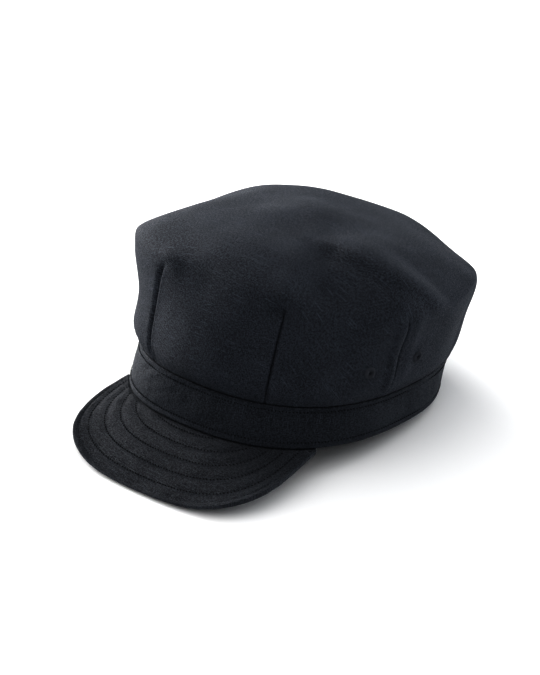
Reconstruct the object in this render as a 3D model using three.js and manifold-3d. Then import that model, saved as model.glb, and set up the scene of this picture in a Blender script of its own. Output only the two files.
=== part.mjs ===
// A railroad engineer cap: a soft crown drawn in by seven darts, an upright band, a short curved
// brim and four sewn eyelets. Millimetres, +Z up, the wearer looks along -Y, the wearer's left is +X.
// The cap stands as it does on a table: on the brim's front edge and the band's back edge.
import * as THREE from 'three';
import { mergeVertices } from 'three/addons/utils/BufferGeometryUtils.js';
import Module from 'manifold-3d';

const wasm = await Module();
wasm.setup();

// Band: an upright strip of doubled cloth round an oval, for a head of about 58 cm
const BAND_LENGTH = 194;
const BAND_WIDTH = 175;
const BAND_TOP_LENGTH = 190;
const BAND_TOP_WIDTH = 175;
const BAND_HEIGHT = 24;
const BAND_LEAN = 7;
const BAND_WALL = 2.4;
const OVAL_POWER = 2.42;

// Crown: its height over the band, how far its cloth stands out past the band, and its darts
const CROWN_HEIGHT = 89;
const CROWN_OVERHANG = 14;
const CROWN_WALL = 1.5;
const CROWN_INSET = 0.4;
const DART_WIDTH = 6;
const DART_DEPTH = 2.2;

// Brim: its reach past the band, its slopes, how far round the band it is sewn, and how far under it
const BRIM_REACH = 43;
const BRIM_THICKNESS = 2.6;
const BRIM_HALF_ANGLE = 48.4;
const BRIM_FRONT_SLOPE = 0.65;
const BRIM_SIDE_SLOPE = 0.18;
const BRIM_SQUARENESS = 3.07;
const BRIM_FLARE = 0.13;
const BRIM_TUCK = 2;
const BRIM_END = 2;

// Eyelets: a sewn ring on the cloth, with a neck through it
const EYELET_DIAMETER = 7.6;
const EYELET_HOLE = 1.8;
const EYELET_NECK = 2.8;
const EYELET_RIM = 0.8;

// Clearance between sewn pieces, and how deep the cloth is pressed flat where the cap rests
const GAP = 0.3;
const REST_FLAT = 0.8;

// A row for each dart and each panel between two darts. Columns: azimuth in degrees from the front
// towards the wearer's left; dart 1 or panel 0; slant in degrees that turns the dart's tip. The out
// columns are shares of CROWN_OVERHANG past the band's top edge, the up columns shares of
// CROWN_HEIGHT: puff just over the band, waist half way up the dart, tip at the dart's end, shoulder
// where the wall turns into the top, crest on the top.
const CROWN_COLUMNS = ['azimuth', 'dart', 'slant', 'puffOut', 'waistOut', 'tipOut', 'tipUp',
  'shoulderOut', 'shoulderUp', 'crestUp'];
const CROWN_ROWS = [
  [-180, 1, 0, 0.29, 0.39, 0.82, 0.53, 0.86, 0.66, 0.83],
  [-154, 0, 0, 0.50, 0.64, 1.00, 0.52, 0.82, 0.65, 0.87],
  [-128, 1, 0, 0.29, 0.36, 0.79, 0.55, 0.86, 0.71, 0.88],
  [-101, 0, 0, 0.50, 0.71, 1.07, 0.56, 0.96, 0.65, 0.87],
  [-75, 1, -0.6, 0.21, 0.36, 0.93, 0.61, 0.79, 0.67, 0.89],
  [-49, 0, 0, 0.36, 0.21, 0.50, 0.64, 0.21, 0.79, 0.92],
  [-23.5, 1, -2.4, 0.14, 0.07, 0.04, 0.70, -0.36, 0.83, 0.94],
  [1.5, 0, 0, 0.36, 0.36, 0.14, 0.67, -0.64, 0.85, 0.96],
  [27, 1, 4.6, 0.21, 0.21, 0.29, 0.69, -0.21, 0.81, 0.93],
  [50, 0, 0, 0.43, 0.50, 0.43, 0.63, -0.29, 0.73, 0.85],
  [73.5, 1, 0.6, 0.29, 0.43, 1.00, 0.61, 0.29, 0.81, 0.94],
  [100, 0, 0, 0.46, 0.86, 1.21, 0.56, 0.79, 0.67, 0.89],
  [128, 1, 0, 0.29, 0.57, 0.79, 0.55, 0.21, 0.61, 0.79],
  [154, 0, 0, 0.50, 0.71, 0.86, 0.50, 0.50, 0.60, 0.80],
].map((row) => Object.fromEntries(row.map((value, i) => [CROWN_COLUMNS[i], value])));

// Where the profile's points lie: puff and waist as shares of the dart's height, crest and top as
// shares of the oval's radius, and a dart is this share of its depth at the seam. Each stretch from
// one point to the next is cut into so many rings.
const PUFF_AT = 0.17;
const WAIST_AT = 0.55;
const CREST_AT = 0.72;
const TOP_AT = 0.36;
const TOP_UP = 0.98;
const DART_AT_SEAM = 0.35;
const TIP_LEVEL = 3;
const CENTRE_LEVEL = 7;
const RINGS = [2, 3, 3, 3, 4, 3, 2];
const PANEL_STEPS = 9;
const BRIM_SECTIONS = 34;
const BRIM_ROWS = 7;
const EYELET_SIDES = 14;

// Eyelets: azimuth in degrees, level from the puff (1) to the waist (2)
const EYELETS = [
  { name: 'eyelet_left_front', azimuth: 63.5, level: 1.56 },
  { name: 'eyelet_left_back', azimuth: 85, level: 1.76 },
  { name: 'eyelet_right_front', azimuth: -63.5, level: 1.56 },
  { name: 'eyelet_right_back', azimuth: -85, level: 1.76 },
];

const radians = THREE.MathUtils.degToRad;
const { clamp, smoothstep } = THREE.MathUtils;

// Radius of an oval of a given length and width, in the direction of an azimuth in degrees
function ovalRadius(azimuth, length, width) {
  const across = Math.abs(Math.sin(radians(azimuth)) / (width / 2)) ** OVAL_POWER;
  const along = Math.abs(Math.cos(radians(azimuth)) / (length / 2)) ** OVAL_POWER;
  return (across + along) ** (-1 / OVAL_POWER);
}

// The point at a radius and a height in the direction of an azimuth, round an axis set back
function polar(azimuth, radius, z, back = 0) {
  const angle = radians(azimuth);
  return new THREE.Vector3(radius * Math.sin(angle), back - radius * Math.cos(angle), z);
}

// The crown's row number k, counted on past the last row for the next turn round the cap
function crownRow(k) {
  const count = CROWN_ROWS.length;
  const turns = Math.floor(k / count);
  const row = CROWN_ROWS[k - turns * count];
  return { ...row, azimuth: row.azimuth + 360 * turns };
}

// The value of each column at any azimuth, on a smooth curve through the rows
function crownAt(azimuth) {
  let i = 0;
  while (crownRow(i + 1).azimuth <= azimuth) i += 1;
  const [before, start, end, after] = [i - 1, i, i + 1, i + 2].map(crownRow);
  const span = end.azimuth - start.azimuth;
  const t = (azimuth - start.azimuth) / span;
  const value = (column) => {
    const leave = (end[column] - before[column]) / (end.azimuth - before.azimuth) * span;
    const arrive = (after[column] - start[column]) / (after.azimuth - start.azimuth) * span;
    return (2 * t ** 3 - 3 * t ** 2 + 1) * start[column] + (t ** 3 - 2 * t ** 2 + t) * leave
      + (3 * t ** 2 - 2 * t ** 3) * end[column] + (t ** 3 - t ** 2) * arrive;
  };
  return Object.fromEntries(CROWN_COLUMNS.map((column) => [column, value(column)]));
}

// How deep the nearest dart draws the cloth in, at a level of the profile
function dartDepth(azimuth, level, rim) {
  const darts = CROWN_ROWS.filter((row) => row.dart === 1);
  const away = Math.min(...darts.map((row) => {
    const turn = Math.abs(azimuth - row.azimuth) % 360;
    return radians(Math.min(turn, 360 - turn)) * rim;
  }));
  const open = clamp(1 - away / (DART_WIDTH / 2), 0, 1);
  const pinched = clamp(level + DART_AT_SEAM, 0, 1) * (1 - smoothstep(level, TIP_LEVEL - 0.8, TIP_LEVEL));
  return DART_DEPTH * open * pinched;
}

// The crown's outer face. level 0 is the seam on the band, 1 the puff, 2 the waist, 3 the darts'
// tips, 4 the shoulder, 5 the crest, 6 the top and 7 the middle of the top.
function crownPoint(azimuth, level) {
  const row = crownAt(azimuth);
  const rim = ovalRadius(azimuth, BAND_TOP_LENGTH, BAND_TOP_WIDTH);
  const dart = CROWN_HEIGHT * row.tipUp;
  const crest = CROWN_HEIGHT * row.crestUp;
  const topUp = crest * TOP_AT + CROWN_HEIGHT * TOP_UP * (1 - TOP_AT);
  const profile = new THREE.SplineCurve([
    [rim - CROWN_INSET, 0],
    [rim + CROWN_OVERHANG * row.puffOut, dart * PUFF_AT],
    [rim + CROWN_OVERHANG * row.waistOut, dart * WAIST_AT],
    [rim + CROWN_OVERHANG * row.tipOut, dart],
    [rim + CROWN_OVERHANG * row.shoulderOut, CROWN_HEIGHT * row.shoulderUp],
    [rim * CREST_AT, crest],
    [rim * TOP_AT, topUp],
    [0, CROWN_HEIGHT],
    [-rim * TOP_AT, topUp],
  ].map(([out, up]) => new THREE.Vector2(out, up)));
  const { x: out, y: up } = profile.getPoint(level / (CENTRE_LEVEL + 1));
  const turn = row.slant * clamp(up / dart, 0, 1) ** 1.5 * clamp(1.6 * out / rim - 0.4, 0, 1);
  const radius = out - dartDepth(azimuth, level, rim);
  return polar(azimuth + turn, radius, BAND_HEIGHT + GAP + up, BAND_LEAN);
}

// Unit normal of the crown's outer face, pointing out
function crownNormal(azimuth, level) {
  const step = 0.5;
  const along = crownPoint(azimuth + step, level).sub(crownPoint(azimuth - step, level));
  const low = Math.max(level - 0.05, 0);
  const up = crownPoint(azimuth, level + 0.05).sub(crownPoint(azimuth, low));
  const normal = along.cross(up).normalize();
  return level === 0 ? normal.setZ(0).normalize() : normal;
}

// Azimuths of the sections: one in each dart's fold, one at each side of it, and even steps between
function sectionAzimuths() {
  const darts = CROWN_ROWS.filter((row) => row.dart === 1).map((row) => row.azimuth);
  const half = THREE.MathUtils.radToDeg(DART_WIDTH / BAND_TOP_WIDTH);
  return darts.flatMap((azimuth, i) => {
    const next = i + 1 < darts.length ? darts[i + 1] : darts[0] + 360;
    const [from, to] = [azimuth + half, next - half];
    const steps = Array.from({ length: PANEL_STEPS + 1 }, (_, k) => from + (to - from) * k / PANEL_STEPS);
    return [azimuth, ...steps];
  });
}

// Adds the two triangles of a four-cornered face, seen anticlockwise from outside
function addQuad(triangles, a, b, c, d) {
  triangles.push(a, b, c, a, c, d);
}

function geometryOf(points, triangles) {
  const geometry = new THREE.BufferGeometry();
  const positions = points.flatMap((point) => [point.x, point.y, point.z]);
  geometry.setAttribute('position', new THREE.Float32BufferAttribute(positions, 3));
  geometry.setIndex(triangles);
  geometry.computeVertexNormals();
  return geometry;
}

// A closed skin over sections. Each section is a list of points, and the sections go round the cap
// (around) or from one end to the other with flat ends. A section's list is a closed loop, or with
// poles it runs from one shared point to another.
function skin(sections, { around, poles = [] }) {
  const size = sections[0].length;
  const points = [...sections.flat(), ...poles];
  const triangles = [];
  const at = (i, k) => (i % sections.length) * size + (k % size);
  const pairs = around ? sections.length : sections.length - 1;
  const steps = poles.length ? size - 1 : size;
  for (let i = 0; i < pairs; i += 1) {
    for (let k = 0; k < steps; k += 1) {
      addQuad(triangles, at(i, k), at(i, k + 1), at(i + 1, k + 1), at(i + 1, k));
    }
    if (poles.length) {
      triangles.push(sections.length * size, at(i, 0), at(i + 1, 0));
      triangles.push(sections.length * size + 1, at(i + 1, size - 1), at(i, size - 1));
    }
  }
  for (let k = 0; !around && k < size / 2 - 1; k += 1) {
    const last = sections.length - 1;
    addQuad(triangles, at(0, k), at(0, size - 1 - k), at(0, size - 2 - k), at(0, k + 1));
    addQuad(triangles, at(last, k), at(last, k + 1), at(last, size - 2 - k), at(last, size - 1 - k));
  }
  return geometryOf(points, triangles);
}

function solidOf(geometry) {
  const plain = geometry.clone();
  plain.deleteAttribute('normal');
  plain.deleteAttribute('uv');
  const merged = mergeVertices(plain, 1e-4);
  const vertProperties = new Float32Array(merged.attributes.position.array);
  const triVerts = new Uint32Array(merged.index.array);
  return new wasm.Manifold(new wasm.Mesh({ numProp: 3, vertProperties, triVerts }));
}

function geometryOfSolid(solid) {
  const { vertProperties, triVerts } = solid.getMesh();
  const geometry = new THREE.BufferGeometry();
  geometry.setAttribute('position', new THREE.Float32BufferAttribute(vertProperties, 3));
  geometry.setIndex([...triVerts]);
  geometry.computeVertexNormals();
  return geometry;
}

// Where an eyelet sits: its place on the crown's face and its turn from +Z to the face's normal
function eyeletSeat({ azimuth, level }) {
  const normal = crownNormal(azimuth, level);
  const turn = new THREE.Quaternion().setFromUnitVectors(new THREE.Vector3(0, 0, 1), normal);
  return { point: crownPoint(azimuth, level), normal, turn };
}

function crownGeometry() {
  const levels = RINGS.flatMap((count, i) => Array.from({ length: count }, (_, k) => i + k / count));
  const sections = sectionAzimuths().map((azimuth) => {
    const outer = levels.map((level) => crownPoint(azimuth, level));
    const inner = levels.map((level, i) => (
      outer[i].clone().addScaledVector(crownNormal(azimuth, level), -CROWN_WALL)));
    return [...outer.reverse(), ...inner];
  });
  const middle = crownPoint(0, CENTRE_LEVEL);
  const under = middle.clone().setZ(middle.z - CROWN_WALL);
  const shell = skin(sections, { around: true, poles: [middle, under] });
  const punch = new THREE.CylinderGeometry(
    EYELET_NECK / 2 + GAP, EYELET_NECK / 2 + GAP, 4 * CROWN_WALL, EYELET_SIDES).rotateX(Math.PI / 2);
  const holed = EYELETS.map(eyeletSeat).reduce((solid, { point, turn }) => {
    const hole = punch.clone().applyQuaternion(turn).translate(point.x, point.y, point.z);
    return solid.subtract(solidOf(hole));
  }, solidOf(shell));
  return geometryOfSolid(holed);
}

function bandGeometry() {
  const sections = sectionAzimuths().map((azimuth) => {
    const low = ovalRadius(azimuth, BAND_LENGTH, BAND_WIDTH);
    const high = ovalRadius(azimuth, BAND_TOP_LENGTH, BAND_TOP_WIDTH);
    return [
      polar(azimuth, high, BAND_HEIGHT, BAND_LEAN),
      polar(azimuth, low, 0),
      polar(azimuth, low - BAND_WALL, 0),
      polar(azimuth, high - BAND_WALL, BAND_HEIGHT, BAND_LEAN),
    ];
  });
  return skin(sections, { around: true });
}

// The brim's outer edge in plan: t runs from -1 at one end to 1 at the other
function brimEdge(t) {
  const radius = ovalRadius(BRIM_HALF_ANGLE, BAND_LENGTH, BAND_WIDTH) + BRIM_END;
  const end = polar(BRIM_HALF_ANGLE, radius, 0);
  const front = -(BAND_LENGTH / 2 + BRIM_REACH);
  const across = Math.abs(Math.sin(t * Math.PI / 2)) ** (2 / BRIM_SQUARENESS);
  const ahead = Math.max(Math.cos(t * Math.PI / 2), 0);
  const x = Math.sign(t) * end.x * across * (1 + BRIM_FLARE * ahead);
  return new THREE.Vector3(x, end.y + (front - end.y) * ahead ** (2 / BRIM_SQUARENESS), 0);
}

// The brim's upper face falls with the distance ahead of the band, and less at the sides
function brimHeight(x, y) {
  const sideways = clamp(Math.abs(x) / (BAND_WIDTH / 2), 0, 1);
  const bandFront = -(BAND_LENGTH / 2) * (1 - sideways ** OVAL_POWER) ** (1 / OVAL_POWER);
  const end = polar(BRIM_HALF_ANGLE, ovalRadius(BRIM_HALF_ANGLE, BAND_LENGTH, BAND_WIDTH), 0);
  const slope = BRIM_FRONT_SLOPE + (BRIM_SIDE_SLOPE - BRIM_FRONT_SLOPE) * (x / end.x) ** 2;
  return -GAP - slope * Math.max(bandFront - y, 0);
}

function brimGeometry() {
  const upper = Array.from({ length: BRIM_SECTIONS + 1 }, (_, i) => {
    const t = 2 * i / BRIM_SECTIONS - 1;
    const azimuth = t * BRIM_HALF_ANGLE;
    const rim = ovalRadius(azimuth, BAND_LENGTH, BAND_WIDTH);
    const [root, seam] = [polar(azimuth, rim - BRIM_TUCK, 0), polar(azimuth, rim, 0)];
    const rows = Array.from({ length: BRIM_ROWS + 1 }, (_, k) => (
      seam.clone().lerp(brimEdge(t), k / BRIM_ROWS)));
    return [root, ...rows].map((point) => point.setZ(brimHeight(point.x, point.y)));
  });
  const lowerPoint = (i, k) => {
    const next = upper[Math.min(i + 1, BRIM_SECTIONS)][k];
    const along = next.clone().sub(upper[Math.max(i - 1, 0)][k]);
    const ahead = upper[i][Math.min(k + 1, BRIM_ROWS + 1)].clone().sub(upper[i][Math.max(k - 1, 0)]);
    const down = along.cross(ahead).normalize();
    return upper[i][k].clone().addScaledVector(down, BRIM_THICKNESS);
  };
  const sections = upper.map((row, i) => {
    const lower = row.map((_, k) => lowerPoint(i, k));
    return [...row, ...lower.reverse()];
  });
  return skin(sections, { around: false });
}

function eyeletGeometry() {
  const [hole, neck, ring] = [EYELET_HOLE / 2, EYELET_NECK / 2, EYELET_DIAMETER / 2];
  const inside = -(GAP + CROWN_WALL);
  const profile = [
    [hole, inside],
    [neck, inside],
    [neck, 0],
    [ring, 0],
    [ring, EYELET_RIM / 2],
    [ring - EYELET_RIM / 2, EYELET_RIM],
    [hole + EYELET_RIM / 2, EYELET_RIM],
    [hole, EYELET_RIM / 2],
    [hole, inside],
  ].map(([x, y]) => new THREE.Vector2(x, y));
  return new THREE.LatheGeometry(profile, EYELET_SIDES).rotateX(Math.PI / 2);
}

function addMesh(group, name, geometry, color, roughness) {
  const material = new THREE.MeshStandardMaterial({ color, roughness, metalness: 0 });
  const mesh = new THREE.Mesh(geometry, material);
  mesh.name = name;
  group.add(mesh);
  return mesh;
}

// Height of a point over the floor's direction when the cap's front is lifted by an angle
function liftedHeight(position, i, angle) {
  return position.getZ(i) * Math.cos(angle) - position.getY(i) * Math.sin(angle);
}

function lowest(geometry, angle) {
  const { position } = geometry.attributes;
  const heights = Array.from({ length: position.count }, (_, i) => liftedHeight(position, i, angle));
  return Math.min(...heights);
}

// The angle by which the brim lifts the front, so that brim and band stand on one floor
function restAngle(brim, band) {
  let [low, high] = [0, Math.PI / 4];
  for (let i = 0; i < 50; i += 1) {
    const middle = (low + high) / 2;
    if (lowest(brim, middle) < lowest(band, middle)) low = middle;
    else high = middle;
  }
  return high;
}

// Presses the cloth that would be below the floor up to it, square to the floor
function pressFlat(geometry, angle, floor) {
  const { position } = geometry.attributes;
  for (let i = 0; i < position.count; i += 1) {
    const sunk = Math.max(floor - liftedHeight(position, i, angle), 0);
    position.setY(i, position.getY(i) - sunk * Math.sin(angle));
    position.setZ(i, position.getZ(i) + sunk * Math.cos(angle));
  }
}

const cap = new THREE.Group();
const band = addMesh(cap, 'band', bandGeometry(), 0x14151a, 0.92);
const brim = addMesh(cap, 'brim', brimGeometry(), 0x1b1f24, 0.9);
addMesh(cap, 'crown', crownGeometry(), 0x20232a, 0.92);
for (const eyelet of EYELETS) {
  const { point, normal, turn } = eyeletSeat(eyelet);
  const mesh = addMesh(cap, eyelet.name, eyeletGeometry(), 0x14161b, 0.85);
  mesh.position.copy(point).addScaledVector(normal, GAP);
  mesh.quaternion.copy(turn);
}

const tilt = restAngle(brim.geometry, band.geometry);
const floor = Math.min(lowest(brim.geometry, tilt), lowest(band.geometry, tilt)) + REST_FLAT;
pressFlat(brim.geometry, tilt, floor);
pressFlat(band.geometry, tilt, floor);
cap.rotation.x = -tilt;

const group = new THREE.Group();
group.add(cap);
group.updateMatrixWorld(true);
const box = new THREE.Box3().setFromObject(group, true);
cap.position.set(-(box.min.x + box.max.x) / 2, -(box.min.y + box.max.y) / 2, -box.min.z);
group.updateMatrixWorld(true);

export default group;
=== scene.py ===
"""Dresses the railroad engineer cap: cloth with its folds, seams and stitches, a floor, light and a camera.

Meshes are in metres. The cap's own frame has +Z up from the band's lower edge, the wearer looks along -Y and
the wearer's left is +X. place() sets it down as it rests: on the band's back edge and the brim's front edge.
"""
import math

import bpy
import numpy as np
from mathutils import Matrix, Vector


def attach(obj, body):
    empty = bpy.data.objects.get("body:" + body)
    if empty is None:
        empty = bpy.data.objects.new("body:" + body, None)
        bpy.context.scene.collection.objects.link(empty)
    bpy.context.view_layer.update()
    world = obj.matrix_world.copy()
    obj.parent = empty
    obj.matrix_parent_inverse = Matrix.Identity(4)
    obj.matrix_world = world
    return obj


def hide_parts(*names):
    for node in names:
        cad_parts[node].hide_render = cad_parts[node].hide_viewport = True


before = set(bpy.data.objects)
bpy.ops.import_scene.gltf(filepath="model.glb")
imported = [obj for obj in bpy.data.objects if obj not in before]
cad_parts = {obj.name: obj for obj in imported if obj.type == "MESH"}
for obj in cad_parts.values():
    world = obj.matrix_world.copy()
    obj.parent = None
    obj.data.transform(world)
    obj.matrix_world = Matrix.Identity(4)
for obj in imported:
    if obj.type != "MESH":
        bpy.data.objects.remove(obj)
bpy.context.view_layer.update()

bl_info = {
    "name": "Railroad Engineer Cap",
    "version": (1, 0, 0),
    "blender": (4, 5, 0),
    "location": "View3D > Sidebar > Cap",
    "description": "Makes a darted cloth cap with a band, a stitched brim and sewn eyelets",
    "category": "Object",
}

DEGREE = math.pi / 180
MM = 0.001

# The cap at rest: how far its front is lifted, and where the cap's own frame stands
REST_TILT = 0.12846
REST_PLACE = np.array([-0.0001048, 0.0080931, 0.0116261])

# The band's lower and upper oval, how far the upper one is set back, and the gap and the inset of the crown's
# seam on it. They are the sizes that the solids have.
BAND_LENGTH = 0.194
BAND_WIDTH = 0.175
BAND_TOP_LENGTH = 0.190
BAND_TOP_WIDTH = 0.175
BAND_LEAN = 0.007
OVAL_POWER = 2.42
GAP = 0.0003
CROWN_INSET = 0.0004

# The brim: half of the angle that it spans, its slope at its ends, how square and how flared its outline is,
# how much less it slopes by the band, and how far its root is tucked in and its ends stand out from the band
BRIM_HALF_ANGLE = 48.4
BRIM_SIDE_SLOPE = 0.24
BRIM_SQUARENESS = 3.07
BRIM_FLARE = 0.13
BRIM_SAG = -0.22
BRIM_TUCK = 0.002
BRIM_END = 0.002

# How far in from the brim's edge its edge seam is, and how much rounder and narrower a line is for each metre
# that it lies further in
BRIM_EDGE_SEAM = 0.0031
BRIM_ROW_ROUNDING = 20.0
BRIM_ROW_NARROWING = 0.85

# A row for each dart and each panel between two darts. Columns: azimuth in degrees from the front towards
# the wearer's left; slant in degrees that turns the dart's tip. The out columns are shares of the crown's
# overhang past the band's top edge, the up columns shares of the crown's height: puff just over the band,
# waist half way up the dart, tip at the dart's end, shoulder where the wall turns into the top, crest on top.
CROWN_COLUMNS = ("azimuth", "slant", "puff_out", "waist_out", "tip_out", "tip_up", "shoulder_out",
                 "shoulder_up", "crest_up")
CROWN_ROWS = np.array([
    (-180, 0, 0.29, 0.39, 0.82, 0.53, 0.86, 0.66, 0.83),
    (-154, 0, 0.50, 0.64, 1.00, 0.52, 0.82, 0.65, 0.87),
    (-128, 0, 0.29, 0.36, 0.79, 0.55, 0.86, 0.71, 0.88),
    (-101, 0, 0.50, 0.71, 1.07, 0.56, 0.96, 0.65, 0.87),
    (-75, -0.6, 0.21, 0.36, 0.93, 0.61, 0.79, 0.67, 0.89),
    (-49, 0, 0.36, 0.21, 0.50, 0.64, 0.21, 0.79, 0.92),
    (-23.5, 2.8, 0.14, 0.07, 0.04, 0.72, -0.36, 0.83, 0.94),
    (1.5, 0, 0.36, 0.32, 0.02, 0.67, -0.48, 0.85, 0.96),
    (26.5, 4.8, 0.21, 0.21, 0.29, 0.69, -0.21, 0.81, 0.93),
    (48, 0, 0.30, 0.20, 0.00, 0.62, -0.85, 0.74, 0.875),
    (69, 4.7, 0.29, 0.43, 1.00, 0.61, 0.29, 0.81, 0.94),
    (96, 0, 0.46, 0.80, 1.20, 0.57, 0.75, 0.67, 0.89),
    (119, 0, 0.29, 0.57, 0.95, 0.58, 0.42, 0.65, 0.83),
    (152, 0, 0.50, 0.71, 0.84, 0.50, 0.42, 0.59, 0.79),
])

# The puff's and the waist's height as shares of the tip's, and the crest's and the top's distance from the
# middle as shares of the band's; then the top's height as a share of the crown's, and the tips' level
PUFF_AT = 0.17
WAIST_AT = 0.55
CREST_AT = 0.72
TOP_AT = 0.36
TOP_UP = 0.98
TIP_LEVEL = 3

# The darts' folds. Columns: azimuth and bow half way up, in degrees; then for the side below that azimuth and
# the side above it, how deep the cloth is drawn in at the seam and how far from the seam that reaches, in
# millimetres; last the side towards which a small tuck runs on from the dart's tip, -1 or 1, or 0 for none.
DARTS = (
    (-180, 0.5, 1.8, 3.5, 1.8, 3.5, 0),
    (-128, 0.8, 0.7, 0.8, 2.4, 4.5, 1),
    (-75, -1.0, 2.8, 5.0, 0.7, 0.8, -1),
    (-23.5, -2.6, 4.8, 6.0, 1.5, 3.0, 0),
    (26.5, 0.4, 1.7, 1.5, 2.9, 2.6, -1),
    (69, 4.2, 1.5, 1.8, 2.5, 2.1, 0),
    (119, -1.0, 0.7, 0.8, 3.0, 5.0, 0),
)

# Soft ridges and hollows in the crown's cloth. Each has its rise in millimetres, below zero for a hollow, how
# far it spreads on the left and on the right of its path, and the path as azimuths and levels.
CREASES = (
    (3.0, 14.0, 5.0, ((14.7, 6.0), (44, 5.84), (57, 5.42), (63, 4.79), (66.3, 4.32), (71.7, 4.05),
                      (80.8, 3.71), (88.6, 3.43), (96, 3.2))),
    (-2.4, 9.0, 10.0, ((40, 5.7), (49, 5.2), (57.5, 4.5), (60.5, 4.0), (60, 3.4), (59, 2.8))),
    (-1.0, 5.0, 6.0, ((53, 3.9), (52, 2.9), (51.5, 2.0), (51, 1.1))),
    (-0.7, 4.0, 5.0, ((37, 2.9), (37, 2.2), (36, 1.4), (35, 0.8))),
    (1.4, 4.0, 2.0, ((66.3, 3.15), (66.5, 2.4), (66.7, 1.5), (66.7, 0.3))),
    (1.1, 4.0, 5.0, ((74, 3.57), (73.6, 2.55), (76.4, 1.73), (75, 1.0))),
    (0.7, 6.0, 6.0, ((26.5, 3.3), (26, 3.9), (24, 4.6))),
    (-0.9, 8.0, 8.0, ((-19, 3.25), (-8, 3.3), (6, 3.2))),
    (-1.3, 3.0, 2.5, ((26.3, 3.12), (24.5, 3.05), (21.5, 2.85))),
)

# Eyelets: the name of the solid, azimuth in degrees, and level between the puff (1) and the waist (2)
EYELETS = (
    ("eyelet_left_front", 59.7, 1.60),
    ("eyelet_left_back", 83.5, 1.80),
    ("eyelet_right_front", -63.5, 1.56),
    ("eyelet_right_back", -85.0, 1.76),
)

# An eyelet's section, from its foot up through the hole, over the rim and down outside. Columns: 0 to measure
# from the hole's edge and 1 from the outer edge, and how far out from there; 0 to measure from the cloth's
# face and 1 from the foot, and how far up from there. Lengths are in millimetres.
EYELET_SECTION = (
    (0, 0.4, 1, 0),
    (0, 0, 1, 0.3),
    (0, 0, 0, 0),
    (0, 0.1, 0, 0.5),
    (0, 0.4, 0, 0.9),
    (0, 0.9, 0, 1.2),
    (0.5, 0, 0, 1.3),
    (1, -0.9, 0, 1.1),
    (1, -0.3, 0, 0.6),
    (1, -0.1, 0, -0.1),
    (1, 0, 0, -0.5),
    (0, 1.0, 0, -0.9),
    (0, 0.8, 1, 0),
)
EYELET_SPOKES = 38

# Where the crown's darts end, in millimetres: the dimple, the fullness over it and the small tuck beside it
TIP_DIMPLE = 0.9
TIP_FULLNESS = 0.8
TIP_TUCK = 1.6

# The crown's inner face is drawn in softly at each dart: how deep and how far from the seam, in millimetres
INSIDE_DART = (3.2, 5)

# The crown's seam allowance inside the band: its gap from the band, thickness, fall and rise
ALLOWANCE = (0.0006, 0.0012, 0.005, 0.001)

# Relief of the cloth, each as its depth and its reach: the groove under a row of stitches, the puff between
# rows, the groove inside the brim's edge seam and the one where the brim meets the band
BAND_GROOVE = (0.00012, 0.0010)
BAND_PUFF = (0.00035, 0.0035)
BRIM_GROOVE = (0.00015, 0.0010)
BRIM_PUFF = (0.0004, 0.0028)
BRIM_EDGE_GROOVE = (0.0006, 0.0007)
BRIM_ROOT_GROOVE = (0.0009, 0.0007)

# Unevenness of the cloth: height, pitch and seed of each swell. The crown's heights are shares of a setting.
CROWN_SWELLS = ((1, 0.045, 11), (0.4, 0.017, 12))
BAND_SWELLS = ((0.00035, 0.04, 31), (0.00012, 0.009, 32))
BRIM_SWELLS = ((0.0003, 0.035, 21), (0.0001, 0.008, 22))

# Wear along rows of stitches, as its strength and its reach, and wear along the brim's edge
BAND_WEAR = (0.5, 0.0010)
BRIM_WEAR = (0.45, 0.0011)
BRIM_EDGE_WEAR = 0.4

# Rows of stitches: how far they are from the band's lower and upper edge, the most rows that the brim has and
# how far these stay ahead of the band
BAND_ROWS = (0.0033, 0.0030)
BRIM_ROWS = 5
BRIM_ROW_CLEARANCE = 0.0012

# How far the band's edges are rounded
BAND_CORNER = 0.0005

# Stitches: how far each leans across its row, and how far its thread stands over the cloth
STITCH_LEAN = -48 * DEGREE
STITCH_LIFT = 0.0003
BRIM_STITCH_LIFT = 0.0002

# Sections and rings of the meshes. The crown has sections at these distances from each dart's seam, in
# millimetres, more in each panel, and rings from each level to the next.
SEAM_SECTIONS = np.array([0.03, 0.3, 0.65, 1.05, 1.5, 2.0, 2.6, 3.3, 4.1, 5.0, 6.1, 7.4, 9.0])
PANEL_SECTIONS = 38
CROWN_RINGS = (10, 15, 20, 14, 19, 19, 13)
BAND_GRID = (420, 48)
BRIM_GRID = (280, 56)

# Patterns in the cloth: width and length of their grains, a number that shifts them, and their detail
FLECKS = (0.00065, 0.0008, 1.3, 1.0)
CLOUDS = (0.022, 0.030, 5.9, 2.0)
SLUBS = (0.00045, 0.013, 9.2, 1.5)
HAIRS = (0.022, 0.0004, 4.4, 1.5)
TWILL_ANGLE = 58 * DEGREE

# Lights: azimuth and elevation of where each shines from and how wide it is, in degrees, and its colour
LIGHTS = {
    "key": (-100, 10, 40, (1.0, 0.975, 0.945)),
    "fill": (152, 12, 40, (0.96, 0.98, 1.0)),
    "overhead": (0, 80, 100, (1.0, 0.97, 0.93)),
}
SKY_COLOUR = (0.97, 0.98, 1.0, 1)
FLOOR_HALF = 4.0

# The photograph's frame, in its own dots: its longer side, the lens's focal length, and how far to the right
# and down the middle of the cap's view lies
PHOTO_SIDE = 675
PHOTO_FOCUS = 2243
PHOTO_SHIFT = (-15.7, 42.8)


# Shapes in the cap's own frame

def smoothstep(value, low, high):
    t = np.clip((value - low) / (high - low), 0, 1)
    return t * t * (3 - 2 * t)


def wrap(azimuth):
    """The same direction as an azimuth from -180 up to 180 degrees"""
    return (azimuth + 180) % 360 - 180


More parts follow.
